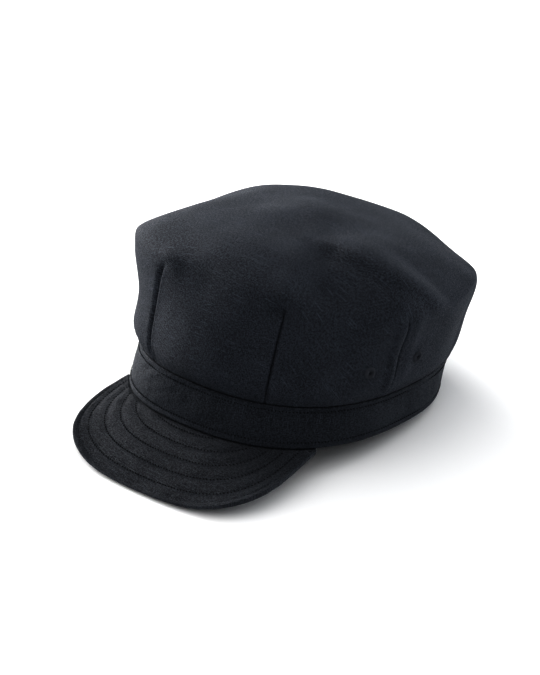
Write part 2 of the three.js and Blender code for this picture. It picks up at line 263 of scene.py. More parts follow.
def hermite(t, begin, end, leave, arrive):
    """A smooth curve from begin to end as t goes from 0 to 1, with its slope at each end"""
    return ((2 * begin - 2 * end + leave + arrive) * t ** 3
            + (3 * end - 3 * begin - 2 * leave - arrive) * t ** 2 + leave * t + begin)


def bell(distance, reach):
    """1 at no distance, falling smoothly to almost nothing at twice the reach"""
    return np.exp(-(distance / reach) ** 2)


def unit(vectors):
    return vectors / np.maximum(np.linalg.norm(vectors, axis=-1, keepdims=True), 1e-12)


def band_rim(azimuth, top=False):
    """Radius of the band's lower or upper oval in the direction of an azimuth in degrees"""
    length, width = (BAND_TOP_LENGTH, BAND_TOP_WIDTH) if top else (BAND_LENGTH, BAND_WIDTH)
    across = np.abs(np.sin(azimuth * DEGREE) / (width / 2)) ** OVAL_POWER
    along = np.abs(np.cos(azimuth * DEGREE) / (length / 2)) ** OVAL_POWER
    return (across + along) ** (-1 / OVAL_POWER)


def polar(azimuth, radius, z, back=0.0):
    """Points at a radius and a height in the direction of an azimuth, round an axis set back"""
    angle = azimuth * DEGREE
    return np.stack(np.broadcast_arrays(radius * np.sin(angle), back - radius * np.cos(angle), z), -1)


def tilt(vectors):
    """Turns vectors in the cap's own frame as the cap is tilted at rest"""
    x, y, z = np.moveaxis(vectors, -1, 0)
    cos, sin = math.cos(REST_TILT), math.sin(REST_TILT)
    return np.stack([x, y * cos + z * sin, z * cos - y * sin], -1)


def place(points):
    """From the cap's own frame to the one in which it rests on the floor"""
    return tilt(points) + REST_PLACE


def press_flat(points):
    """Cloth that would be under the floor lies on it"""
    points[..., 2] = np.maximum(points[..., 2], 0)
    return points


def swell(points, pitch, seed, waves=10):
    """A gentle random swell over points, mostly within -1 and 1, with a crest about every pitch"""
    chance = np.random.default_rng(seed)
    total = np.zeros(points.shape[:-1])
    for _ in range(waves):
        way = chance.normal(size=3)
        way *= 2 * math.pi / (pitch * chance.uniform(0.7, 1.5) * np.linalg.norm(way))
        total += np.sin(points @ way + chance.uniform(0, 2 * math.pi))
    return total * (2 / waves) ** 0.5 / 1.6


def unevenness(points, swells):
    return sum(height * swell(points, pitch, seed) for height, pitch, seed in swells)


def relief(distance, groove, puff):
    """How far the cloth rises beside a row of stitches and sinks under it"""
    return puff[0] * (1 - bell(distance, puff[1])) - groove[0] * bell(distance, groove[1])


def crown_row(azimuth):
    """Each column's value at any azimuth, on a smooth curve through the rows"""
    count = len(CROWN_ROWS)
    wrapped = wrap(azimuth)
    start = np.searchsorted(CROWN_ROWS[:, 0], wrapped, side="right") - 1

    def row(k):
        values = CROWN_ROWS[k % count].copy()
        values[..., 0] += 360 * (k // count)
        return values

    before, begin, end, after = (row(start + step) for step in (-1, 0, 1, 2))
    span = (end - begin)[..., :1]
    t = (wrapped[..., None] - begin[..., :1]) / span
    leave = (end - before) / (end - before)[..., :1] * span
    arrive = (after - begin) / (after - begin)[..., :1] * span
    value = hermite(t, begin, end, leave, arrive)
    return dict(zip(CROWN_COLUMNS, np.moveaxis(value, -1, 0)))


def calm_crest():
    """The crest's height round the crown with only its broad changes, for the middle of the top"""
    azimuth = np.arange(-180.0, 180.0, 1.0)
    waves = np.fft.rfft(crown_row(azimuth)["crest_up"])
    waves[4:] = 0
    return azimuth, np.fft.irfft(waves, len(azimuth))


CALM_AZIMUTH, CALM_CREST = calm_crest()


def crown_profile(azimuth, level, sizes):
    """How far out and up the crown's face is. Level 0 is the seam on the band, 1 the puff, 2 the waist, 3 the
    darts' tips, 4 the shoulder, 5 the crest, 6 the top and 7 the middle of the top."""
    row = crown_row(azimuth)
    height, overhang = sizes.crown_height, sizes.crown_overhang
    rim = band_rim(azimuth, top=True)
    dart = height * row["tip_up"]
    calm = height * np.interp(wrap(azimuth), CALM_AZIMUTH, CALM_CREST, period=360)
    top_up = calm * TOP_AT + height * TOP_UP * (1 - TOP_AT)
    profile = [
        (rim - CROWN_INSET, 0 * rim),
        (rim + overhang * row["puff_out"], dart * PUFF_AT),
        (rim + overhang * row["waist_out"], dart * WAIST_AT),
        (rim + overhang * row["tip_out"], dart),
        (rim + overhang * row["shoulder_out"], height * row["shoulder_up"]),
        (rim * CREST_AT, height * row["crest_up"]),
        (rim * TOP_AT, top_up),
        (0 * rim, height + 0 * rim),
        (-rim * TOP_AT, top_up),
    ]
    points = np.array([np.stack(np.broadcast_arrays(out, up), -1) for out, up in profile])
    whole = np.floor(level).astype(int)
    t = (level - whole)[..., None]
    grid = np.indices(azimuth.shape)
    before, begin, end, after = (
        points[(np.clip(whole + step, 0, len(profile) - 1), *grid)] for step in (-1, 0, 1, 2))
    out, up = np.moveaxis(hermite(t, begin, end, (end - before) / 2, (after - begin) / 2), -1, 0)
    climb = np.clip(up / dart, 0, 1) ** 1.5
    turn = row["slant"] * climb * np.clip(1.6 * out / rim - 0.4, 0, 1)
    return out, up, azimuth + turn, rim


def dart_distance(azimuth, dart_azimuth, rim):
    """Distance round the band from a dart's seam, below zero on the side of the lower azimuth"""
    return wrap(azimuth - dart_azimuth) * DEGREE * rim


def bowed(azimuth, level):
    """Azimuths with the sections near a dart moved sideways half way up, as its seam is bowed"""
    shift = np.zeros(azimuth.shape)
    for dart_azimuth, bow, *_ in DARTS:
        away = np.abs(wrap(azimuth - dart_azimuth))
        shift += bow * (1 - smoothstep(away, 3, 16)) * np.sin(np.clip(level / TIP_LEVEL, 0, 1) * math.pi)
    return azimuth + shift


def dart_sides(azimuth, rim):
    """For each dart: the distance from its seam in millimetres, the fold's depth and reach there, and whether
    that is the side on which the cloth's edge is crisp"""
    for dart_azimuth, _, below, below_reach, above, above_reach, _ in DARTS:
        away = dart_distance(azimuth, dart_azimuth, rim) / MM
        sides = ((below, above), (below_reach, above_reach), (below < above, above < below))
        yield (away, *(np.where(away < 0, *pair) for pair in sides))


def fold_depth(azimuth, level, rim):
    """How far the darts draw the cloth in: a steep fold on one side of the seam, a crisp edge on the other"""
    depth = np.zeros(azimuth.shape)
    grip = (0.3 + 0.7 * smoothstep(level, 0, 0.9)) * (1 - smoothstep(level, 2.7, TIP_LEVEL + 0.05))
    for away, most, reach, crisp in dart_sides(azimuth, rim):
        depth += MM * most * grip * np.clip(1 - np.abs(away) / reach, 0, 1) ** 2.2
        depth -= MM * 0.45 * crisp * grip * bell(np.abs(away) - 1.5, 2)
    return depth


def tuck_depth(azimuth, rim, climb):
    """The dimple and the small tuck where each dart ends, with the cloth's fullness above them"""
    depth = np.zeros(azimuth.shape)
    for dart_azimuth, *_, side in DARTS:
        across = dart_distance(azimuth, dart_azimuth, rim) / MM
        above = climb / MM
        depth += MM * TIP_DIMPLE * np.exp(-(across ** 2 + (above + 0.5) ** 2) / 8)
        depth -= MM * TIP_FULLNESS * bell(across, 7) * bell(above - 9, 7)
        if side:
            along = np.clip(across * side, 0, None)
            window = (across * side > -1) * bell(along, 6)
            depth += MM * TIP_TUCK * window * bell(above + 1.2 - 0.12 * along, 1.1)
    return depth


def crown_points(azimuth, level, sizes):
    """Points of the crown's plain face, with no folds"""
    out, up, turned, _ = crown_profile(azimuth, level, sizes)
    return polar(bowed(turned, level), out, sizes.band_height + GAP + up, BAND_LEAN)


def crease_rise(points, normals, sizes):
    """How far the soft ridges and hollows lift each point of the crown"""
    rise = np.zeros(points.shape[:-1])
    for most, left, right, path in CREASES:
        knots = np.linspace(0, 1, len(path))
        share_along = np.linspace(0, 1, 120)
        azimuth, level = (np.interp(share_along, knots, column) for column in zip(*path))
        line = crown_points(azimuth, level, sizes)
        way = np.gradient(line, axis=0)
        nearest = np.full(points.shape[:-1], 1.0)
        closest = np.zeros(points.shape[:-1], int)
        for k, spot in enumerate(line):
            far = np.linalg.norm(points - spot, axis=-1)
            closer = far < nearest
            nearest[closer] = far[closer]
            closest[closer] = k
        side = np.sum(np.cross(way[closest], points - line[closest]) * normals, axis=-1)
        reach = np.where(side > 0, left, right) * MM
        taper = smoothstep(share_along, 0, 0.3) * (1 - smoothstep(share_along, 0.75, 1))
        rise += MM * most * taper[closest] * bell(nearest, reach)
    return rise


def face_normals(points, around=True):
    """Normals of a grid of points whose sections go round the cap and whose rings go up"""
    if around:
        wrapped = np.concatenate([points[-1:], points, points[:1]])
        along = wrapped[2:] - wrapped[:-2]
    else:
        along = np.gradient(points, axis=0)
    return unit(np.cross(along, np.gradient(points, axis=1)))


def section_azimuths():
    """Azimuths of the crown's sections, close together at the darts' seams"""
    near = SEAM_SECTIONS * MM / (BAND_TOP_WIDTH / 2 * DEGREE)
    darts = [row[0] for row in DARTS]
    panels = []
    for i, azimuth in enumerate(darts):
        following = darts[i + 1] if i + 1 < len(darts) else darts[0] + 360
        begin, end = azimuth + near, following - near[::-1]
        middle = np.linspace(begin[-1], end[0], PANEL_SECTIONS + 2)[1:-1]
        panels.append(np.concatenate([begin, middle, end]))
    return np.concatenate(panels)


def at_tips(values, level):
    """Each section's value where its dart's tip is"""
    return np.take_along_axis(values, np.argmin(np.abs(level - TIP_LEVEL), axis=1)[:, None], 1)


def crown_face(sizes, folded):
    """The crown's outer face: points, azimuths and levels, from the seam to near the middle of the top. The
    folded one has the darts' folds, tucks and the cloth's own unevenness."""
    steps = [i + np.arange(count) / count for i, count in enumerate(CROWN_RINGS)]
    level, azimuth = np.meshgrid(np.concatenate(steps), section_azimuths())
    out, up, turned, rim = crown_profile(azimuth, level, sizes)
    if folded:
        climb = np.cumsum(np.hypot(np.gradient(out, axis=1), np.gradient(up, axis=1)), axis=1)
        climb = climb - at_tips(climb, level)
        out = out - fold_depth(azimuth, level, rim) - tuck_depth(azimuth, rim, climb)
    else:
        away = np.min([np.abs(dart_distance(azimuth, row[0], rim)) for row in DARTS], axis=0) / MM
        depth, reach = INSIDE_DART
        out = out - MM * depth * bell(away, reach) * (1 - smoothstep(level, 2.6, 3.3))
    points = polar(bowed(turned, level), out, sizes.band_height + GAP + up, BAND_LEAN)
    if folded:
        normal = face_normals(points)
        free = smoothstep(level, 0.0, 0.8)[..., None]
        rise = sizes.swell * unevenness(points, CROWN_SWELLS) + crease_rise(points, normal, sizes)
        pucker = np.sin(azimuth * 2.1 + 3 * swell(points, 0.03, 13)) * np.exp(-(level - 0.5) ** 2 / 0.18)
        points = points + normal * (rise[..., None] * free + 0.00022 * pucker[..., None])
    return points, azimuth, level


def cloth_map(points, azimuth, level):
    """Where each point of the crown lies on its flat cloth, in metres: as seen from above on the top, and
    panel by panel on the wall"""
    step = np.linalg.norm(np.diff(points, axis=1), axis=-1)
    radius = np.hypot(points[..., 0], points[..., 1] - BAND_LEAN)
    from_middle = np.concatenate([np.cumsum(step[:, ::-1], axis=1)[:, ::-1], 0 * step[:, :1]], axis=1)
    drop = from_middle + radius[:, -1:] - radius
    tip = at_tips(drop, level)
    darts = np.array([row[0] for row in DARTS] + [180.0])
    wrapped = wrap(azimuth)
    panel = np.clip(np.searchsorted(darts, wrapped, side="right") - 1, 0, len(darts) - 2)
    middle = (darts[panel] + darts[panel + 1]) / 2
    own, shared = azimuth * DEGREE, middle * DEGREE
    top, wall = np.minimum(drop, tip), np.maximum(drop - tip, 0)
    u = points[..., 0] + top * np.sin(own) + wall * np.sin(shared)
    v = points[..., 1] - top * np.cos(own) - wall * np.cos(shared)
    return np.stack([u, v], -1)


# Meshes

def skin(name, points, cloth, *, around=True, loop=False, poles=(), wear=None):
    """A mesh object over a grid of points, one row for each section and one column for each ring. Sections go
    round the cap (around) or end in flat faces; each ring of a section joins the next, and the last the first
    (loop), or the ends close on two poles."""
    sections, rings = points.shape[:2]
    index = np.arange(sections * rings).reshape(sections, rings)
    if around:
        index = np.vstack([index, index[:1]])
    if loop:
        index = np.hstack([index, index[:, :1]])
    corners = (index[:-1, :-1], index[:-1, 1:], index[1:, 1:], index[1:, :-1])
    faces = np.stack(corners, -1).reshape(-1, 4).tolist()
    if len(poles):
        first = sections * rings
        faces += [(first, a, b) for a, b in zip(index[:-1, 0].tolist(), index[1:, 0].tolist())]
        faces += [(first + 1, b, a) for a, b in zip(index[:-1, -1].tolist(), index[1:, -1].tolist())]
    if not around:
        for k in range(rings // 2 - 1):
            across = (k, rings - 1 - k, rings - 2 - k, k + 1)
            faces.append([int(index[0, i]) for i in across])
            faces.append([int(index[-1, i]) for i in across[::-1]])
    verts = np.concatenate([points.reshape(-1, 3), *[np.reshape(pole, (1, 3)) for pole in poles]])
    flat = np.concatenate([cloth.reshape(-1, 2), np.zeros((len(poles), 2))])
    return mesh_object(name, verts, faces, flat, wear)


def add_object(name, data):
    thing = bpy.data.objects.new(name, data)
    bpy.context.scene.collection.objects.link(thing)
    return thing


def mesh_object(name, verts, faces, cloth=None, wear=None):
    """A smooth mesh object, with where each point lies on the flat cloth and how worn it is there"""
    mesh = bpy.data.meshes.new(name)
    mesh.from_pydata(verts.tolist(), [], faces)
    mesh.polygons.foreach_set("use_smooth", np.ones(len(mesh.polygons), bool))
    if cloth is not None:
        corner = np.empty(len(mesh.loops), np.int32)
        mesh.loops.foreach_get("vertex_index", corner)
        layer = mesh.uv_layers.new(name="cloth")
        layer.uv.foreach_set("vector", cloth[corner].astype(np.float32).ravel())
    if wear is not None:
        values = np.zeros(len(verts), np.float32)
        values[:wear.size] = wear.ravel()
        mesh.attributes.new("wear", "FLOAT", "POINT").data.foreach_set("value", values)
    mesh.validate()
    mesh.update()
    return add_object(name, mesh)


def dress(piece, material, slot, *nodes):
    """Gives a piece its material and its body, and hides the solids that it replaces. The slot is not used.
    """
    piece.data.materials.append(material)
    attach(piece, "root")
    if nodes:
        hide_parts(*nodes)


def along_row(run, spots, values):
    """Values along a row, known at the distances of run from its start, at some other distances"""
    return np.stack([np.interp(spots, run, column) for column in values.T], -1)


def stitches(name, rows, sizes):
    """One mesh of sewn stitches. Each row is a pair: points along it and the cloth's normals there"""
    length, pitch, width = sizes.stitch_length, sizes.stitch_pitch, sizes.stitch_width
    around, along = 6, 7
    place_on = np.linspace(-1, 1, along)
    arch = STITCH_LIFT + (np.cos(place_on * math.pi / 2) ** 0.7 - 0.75) * width * 0.9
    thick = np.maximum(1 - np.abs(place_on) ** 4, 0.05) ** 0.5
    angle = np.arange(around) * 2 * math.pi / around
    tube = np.arange(around * along).reshape(along, around)
    turned = np.roll(tube, -1, axis=1)
    tube_faces = np.stack([tube[:-1], turned[:-1], turned[1:], tube[1:]], -1).reshape(-1, 4).tolist()
    tube_faces += [tube[0, ::-1].tolist(), tube[-1].tolist()]
    verts, faces = [], []
    for points, normals in rows:
        run = np.concatenate([[0], np.cumsum(np.linalg.norm(np.diff(points, axis=0), axis=1))])
        centres = np.arange(pitch / 2, run[-1] - pitch / 2, pitch)
        at, up = along_row(run, centres, points), along_row(run, centres, normals)
        way = unit(along_row(run, centres + length / 4, points) - at)
        up = unit(up - way * np.sum(up * way, axis=1, keepdims=True))
        side = np.cross(up, way)
        lean = way * math.cos(STITCH_LEAN) + side * math.sin(STITCH_LEAN)
        across = side * math.cos(STITCH_LEAN) - way * math.sin(STITCH_LEAN)
        for centre, a, b, c in zip(at, lean, across, up):
            first = len(verts) * along * around
            spine = centre + np.outer(place_on * length / 2, a) + np.outer(arch, c)
            ring = np.outer(np.cos(angle), b * width / 2) + np.outer(np.sin(angle), c * width * 0.38)
            verts.append((spine[:, None, :] + thick[:, None, None] * ring).reshape(-1, 3))
            faces += [[first + corner for corner in face] for face in tube_faces]
    return mesh_object(name, np.concatenate(verts), faces)


# Materials

def plug(node, inputs):
    """Gives a node's inputs their links and even values"""
    for socket, value in dict(inputs).items():
        if isinstance(value, bpy.types.NodeSocket):
            node.id_data.links.new(value, node.inputs[socket])
        else:
            node.inputs[socket].default_value = value


def add_node(tree, kind, inputs=(), output=0, **settings):
    """Adds a shader node and gives one of its outputs"""
    node = tree.nodes.new("ShaderNode" + kind)
    for key, value in settings.items():
        setattr(node, key, value)
    plug(node, inputs)
    return node.outputs[output]


def maths(tree, operation, *values):
    return add_node(tree, "Math", enumerate(values), operation=operation)


def weighted_sum(tree, *parts):
    """The sum of some values, each times its weight"""
    total = 0.0
    for value, weight in parts:
        total = maths(tree, "MULTIPLY_ADD", value, weight, total)
    return total


def stretched_noise(tree, spot, across, along, seed, detail):
    """Noise whose grains are across wide and along long, both in metres, on the flat cloth"""
    grains = add_node(tree, "Mapping", {
        "Vector": spot, "Scale": (1 / across, 1 / along, 1), "Location": (seed, 2 * seed, 0)})
    return add_node(tree, "TexNoise", {
        "Vector": grains, "Scale": 1.0, "Detail": detail, "Roughness": 0.5}, noise_dimensions="2D")


def ramp(tree, value, low, high):
    return add_node(tree, "MapRange", {"Value": value, "From Min": low, "From Max": high},
                    interpolation_type="SMOOTHSTEP")


def blend(tree, factor, first, second):
    """A colour between two others, by a factor. The node has its colours as inputs 6 and 7 and output 2."""
    return add_node(tree, "Mix", {"Factor": factor, 6: first, 7: second}, 2, data_type="RGBA")


def shade(colour, factor, lift=0.0):
    """A darker or paler shade of a colour"""
    return (*[min(channel * factor + lift, 1) for channel in colour[:3]], 1)


def new_material(name, inputs):
    """A material with its shader, which takes even values on its own sockets"""
    material = bpy.data.materials.new(name)
    material.use_nodes = True
    shader = material.node_tree.nodes["Principled BSDF"]
    plug(shader, inputs)
    return material, material.node_tree, shader


def cloth_material(name, colour, look, *, grain=1.0, turned=False):
    """Worn black twill: fine threads both ways, a steep twill line, flecks, and pale slubs along the cloth"""
    material, tree, shader = new_material(name, {
        "Specular IOR Level": 0.5, "Specular Tint": (0.82, 0.89, 1, 1), "Sheen Weight": look.sheen,
        "Sheen Roughness": 0.45, "Sheen Tint": (0.62, 0.7, 0.85, 1)})
    flat = add_node(tree, "UVMap", uv_map="cloth")
    if turned:
        flat = add_node(tree, "Mapping", {"Vector": flat, "Rotation": (0, 0, math.pi / 2)})
    thread = look.thread_pitch
    warp = stretched_noise(tree, flat, thread, thread * 5, 3.1, 1.0)
    weft = stretched_noise(tree, flat, thread * 5, thread, 7.7, 1.0)
    across = add_node(tree, "Mapping", {
        "Vector": flat, "Rotation": (0, 0, TWILL_ANGLE), "Scale": (1 / (thread * 2),) * 3})
    twill = add_node(tree, "TexWave", {
        "Vector": across, "Scale": 1 / math.pi, "Distortion": 1.2, "Detail": 1.0, "Detail Scale": 0.6},
        "Fac", wave_type="BANDS")
    fleck = stretched_noise(tree, flat, *FLECKS)
    cloud = stretched_noise(tree, flat, *CLOUDS)
    slub = ramp(tree, stretched_noise(tree, flat, *SLUBS), 0.79 - 0.08 * look.slubs, 0.86)
    hair = ramp(tree, stretched_noise(tree, flat, *HAIRS), 0.735 - 0.08 * look.slubs, 0.745)
    threads = weighted_sum(tree, (warp, 0.5), (weft, 0.5))
    tone = ramp(tree, weighted_sum(tree, (threads, 0.6), (fleck, 0.3), (cloud, 0.1)), 0.36, 0.64)
    base = blend(tree, tone, shade(colour, 0.55), shade(colour, 1.75, 0.002))
    streak = maths(tree, "MULTIPLY", maths(tree, "MAXIMUM", slub, hair), 0.5)
    base = blend(tree, streak, base, shade(colour, 4.5, 0.02))
    wear = add_node(tree, "Attribute", output="Fac", attribute_name="wear")
    base = blend(tree, maths(tree, "MULTIPLY", wear, 0.4), base, shade(colour, 2.6, 0.006))
    rough = add_node(tree, "MapRange", {"Value": tone, "To Min": 1.0, "To Max": 0.66})
    plug(shader, {"Base Color": base, "Roughness": rough})
    height = weighted_sum(tree, (twill, 0.6), (threads, 0.9), (fleck, 0.7 * grain), (slub, 0.5))
    raise_surface(tree, shader, height, 1.0, 0.31 * MM * grain)
    return material


def raise_surface(tree, shader, height, strength, distance):
    bump = add_node(tree, "Bump", {"Height": height, "Strength": strength, "Distance": distance})
    plug(shader, {"Normal": bump})


def mottle(tree, shader, scale, detail, darker, paler):
    """Mottles a shader's colour from a darker to a paler shade, and gives the noise that does it"""
    spot = add_node(tree, "TexCoord", output="Object")
    noise = add_node(tree, "TexNoise", {"Vector": spot, "Scale": scale, "Detail": detail})
    plug(shader, {"Base Color": blend(tree, noise, darker, paler)})
    return noise


def thread_material(name, colour, gloss):
    """Matt sewing thread with a fine uneven twist. Gloss is how strongly it mirrors the light."""
    material, tree, shader = new_material(name, {"Roughness": 0.85, "Specular IOR Level": gloss})
    twist = mottle(tree, shader, 2500.0, 2.0, shade(colour, 0.8), shade(colour, 1.4))
    raise_surface(tree, shader, twist, 0.4, 0.1 * MM)
    return material


# Settings

def length(name, description, default, low, high):
    return bpy.props.FloatProperty(name=name, description=description, default=default, min=low, max=high,
                                   unit="LENGTH", subtype="DISTANCE", precision=5)


def share(name, description, default, low=0.0, high=1.0):
    return bpy.props.FloatProperty(name=name, description=description, default=default, min=low, max=high,
                                   subtype="FACTOR")


def strength(name, description, default, low=0.0, high=20.0):
    return bpy.props.FloatProperty(name=name, description=description, default=default, min=low, max=high)


def angle(name, description, default):
    return bpy.props.FloatProperty(name=name, description=description, default=default, subtype="ANGLE")


def colour(name, description, default):
    return bpy.props.FloatVectorProperty(name=name, description=description, default=default, size=3, min=0,
                                         max=1, subtype="COLOR")


class CapSizes(bpy.types.PropertyGroup):
    """Sizes of the cap's pieces"""
    crown_height: length("Crown height", "From the band's edge to the middle of the top", 0.089, 0.06, 0.12)
    crown_overhang: length("Crown overhang", "How far the crown stands out past the band", 0.014, 0.0, 0.03)
    crown_wall: length("Crown cloth", "Thickness of the crown's cloth", 0.0015, 0.0005, 0.003)
    swell: length("Cloth unevenness", "How much the crown's cloth rises and falls", 0.00012, 0.0, 0.003)
    band_height: length("Band height", "Height of the band", 0.024, 0.01, 0.05)
    band_wall: length("Band thickness", "Thickness of the doubled cloth of the band", 0.0024, 0.001, 0.004)
    brim_reach: length("Brim reach", "How far the brim reaches past the band", 0.043, 0.02, 0.08)
    brim_thickness: length("Brim thickness", "Thickness of the brim", 0.0026, 0.001, 0.005)
    brim_slope: share("Brim slope", "Fall of the brim at its middle, as a share of its reach", 0.65)
    brim_row_pitch: length("Brim row spacing", "Distance between rows of brim stitches", 0.0080, 0.003, 0.02)
    stitch_pitch: length("Stitch spacing", "From one stitch to the next", 0.0021, 0.001, 0.005)
    stitch_length: length("Stitch length", "Length of thread that shows", 0.0011, 0.0005, 0.005)
    stitch_width: length("Thread width", "Width of the sewing thread", 0.0006, 0.0001, 0.001)
    eyelet_diameter: length("Eyelet diameter", "Outer diameter of a sewn eyelet", 0.0076, 0.004, 0.015)
    eyelet_hole: length("Eyelet hole", "Diameter of the hole in an eyelet", 0.0018, 0.0005, 0.006)


class CapLook(bpy.types.PropertyGroup):
    """Colours and cloth"""
    crown_colour: colour("Crown", "Colour of the crown's cloth", (0.0158, 0.0188, 0.0258))
    band_colour: colour("Band", "Colour of the band's cloth", (0.0078, 0.0098, 0.0142))
    brim_colour: colour("Brim", "Colour of the brim's cloth", (0.0128, 0.0144, 0.0184))
    thread_colour: colour("Thread", "Colour of the sewing thread", (0.0050, 0.0058, 0.0075))
    eyelet_colour: colour("Eyelets", "Colour of the thread round the eyelets", (0.0340, 0.0390, 0.0500))
    thread_pitch: length("Thread spacing", "Distance between threads of the cloth", 0.00042, 0.0002, 0.002)
    slubs: share("Slubs", "How many thick pale threads the cloth has", 0.5)
    sheen: share("Sheen", "How much the cloth's nap catches grazing light", 0.04)


class CapStage(bpy.types.PropertyGroup):
    """Floor, light and camera"""
    floor_colour: colour("Floor", "Colour of the floor", (0.905, 0.92, 0.94))
    key: strength("Key light", "Strength of the main light", 8.1)
    fill: strength("Fill light", "Strength of the light from behind", 1.9)
    overhead: strength("Overhead light", "Strength of the light from above", 2.45)
    sky: strength("Surroundings", "Strength of the light from all round", 0.42, high=5.0)
    contrast: strength("Contrast", "How far light and dark are pulled apart", 1.6, low=0.5, high=3.0)
    azimuth: angle("Camera azimuth", "Camera's direction round the cap", 38 * DEGREE)
    elevation: angle("Camera elevation", "Camera's height above the horizon", 29.8 * DEGREE)
    distance: length("Camera distance", "Distance from the cap", 1.4, 0.3, 5.0)


# Operators

class CAP_OT_stage(bpy.types.Operator):
    """Adds the floor, the lights and the camera"""
    bl_idname = "cap.stage"
    bl_label = "Stage"

    def execute(self, context):
        stage = context.scene.cap_stage
        scene = context.scene
        scene.view_settings.view_transform = "Standard"
        scene.view_settings.gamma = 1 / stage.contrast
        self.add_floor(stage)
        for name, light in LIGHTS.items():
            self.add_sun(name + "_light", getattr(stage, name), *light)
        world = bpy.data.worlds.new("surroundings")
        world.use_nodes = True
        plug(world.node_tree.nodes["Background"], {"Color": SKY_COLOUR, "Strength": stage.sky})
        scene.world = world
        self.add_camera(stage, scene)
        return {"FINISHED"}

    def add_floor(self, stage):
        corners = np.array([(-1, -1, 0), (1, -1, 0), (1, 1, 0), (-1, 1, 0)]) * FLOOR_HALF
        corners[:, 2] = -0.1 * MM
        floor = mesh_object("floor", corners, [(0, 1, 2, 3)])
        material, tree, shader = new_material("pale_floor", {"Roughness": 0.7, "Specular IOR Level": 0.2})
        mottle(tree, shader, 9.0, 3.0, shade(stage.floor_colour, 0.995), shade(stage.floor_colour, 1.005))
        floor.data.materials.append(material)

    def add_sun(self, name, strength, azimuth, elevation, spread, tint):
        light = bpy.data.lights.new(name, "SUN")
        light.energy = strength
        light.angle = spread * DEGREE
        light.color = tint
        self.face_cap(add_object(name, light), azimuth * DEGREE, elevation * DEGREE, 2.0)

    def face_cap(self, thing, azimuth, elevation, distance):
        """Puts a lamp or the camera at a distance in a direction from the cap, facing it"""
        flat = math.cos(elevation)
        away = Vector((math.sin(azimuth) * flat, -math.cos(azimuth) * flat, math.sin(elevation)))
        thing.location = Vector(REST_PLACE) + away * distance
        thing.rotation_euler = away.to_track_quat("Z", "Y").to_euler()

    def add_camera(self, stage, scene):
        data = bpy.data.cameras.new("camera")
        data.sensor_fit = "AUTO"
        data.sensor_width = 36.0
        data.lens = PHOTO_FOCUS / PHOTO_SIDE * data.sensor_width
        data.shift_x, data.shift_y = (shift / PHOTO_SIDE for shift in PHOTO_SHIFT)
        data.clip_start = 0.05
        scene.camera = add_object("camera", data)
        self.face_cap(scene.camera, stage.azimuth, stage.elevation, stage.distance)


class CAP_OT_crown(bpy.types.Operator):
    """Adds the crown: one soft cloth shell drawn in by seven darts"""
    bl_idname = "cap.crown"
    bl_label = "Crown"

    def execute(self, context):
        sizes, look = context.scene.cap_sizes, context.scene.cap_look
        outer, azimuth, level = crown_face(sizes, True)
        smooth, _, _ = crown_face(sizes, False)
        inner = smooth - face_normals(smooth) * sizes.crown_wall
        around = azimuth[:, 0]
        gap, thickness, fall, rise = ALLOWANCE
        out = band_rim(around, top=True) - sizes.band_wall - gap
        lip = [(out, 0.0), (out, -fall), (out - thickness, -fall), (out - thickness, rise)]
        seam = sizes.band_height + GAP
        allowance = np.stack([polar(around, radius, seam + up, BAND_LEAN) for radius, up in lip], 1)
        flat = cloth_map(outer, azimuth, level)
        points = np.concatenate([outer[:, ::-1], allowance, inner[:, 1:]], axis=1)
        hidden = np.repeat(flat[:, :1], allowance.shape[1], axis=1)
        cloth = np.concatenate([flat[:, ::-1], hidden, flat[:, 1:]], axis=1)
        poles = [place(face[:, -1].mean(axis=0)) for face in (outer, inner)]
        wear = np.zeros(points.shape[:2])
        wear[:, :outer.shape[1]] = self.worn(azimuth, level)[:, ::-1]
        piece = skin("crown_cloth", place(points), cloth, poles=poles, wear=wear)
        dress(piece, cloth_material("crown_twill", look.crown_colour, look), "crown_cloth", "crown")
        return {"FINISHED"}

    def worn(self, azimuth, level):
        """More on the crisp folded edges of the darts, where the nap is rubbed"""
        wear = np.zeros(azimuth.shape)
        for away, _, _, crisp in dart_sides(azimuth, band_rim(azimuth, top=True)):
            wear += crisp * bell(away, 1.1) * (1 - smoothstep(level, 2.5, 3))
        return np.clip(wear, 0, 1)


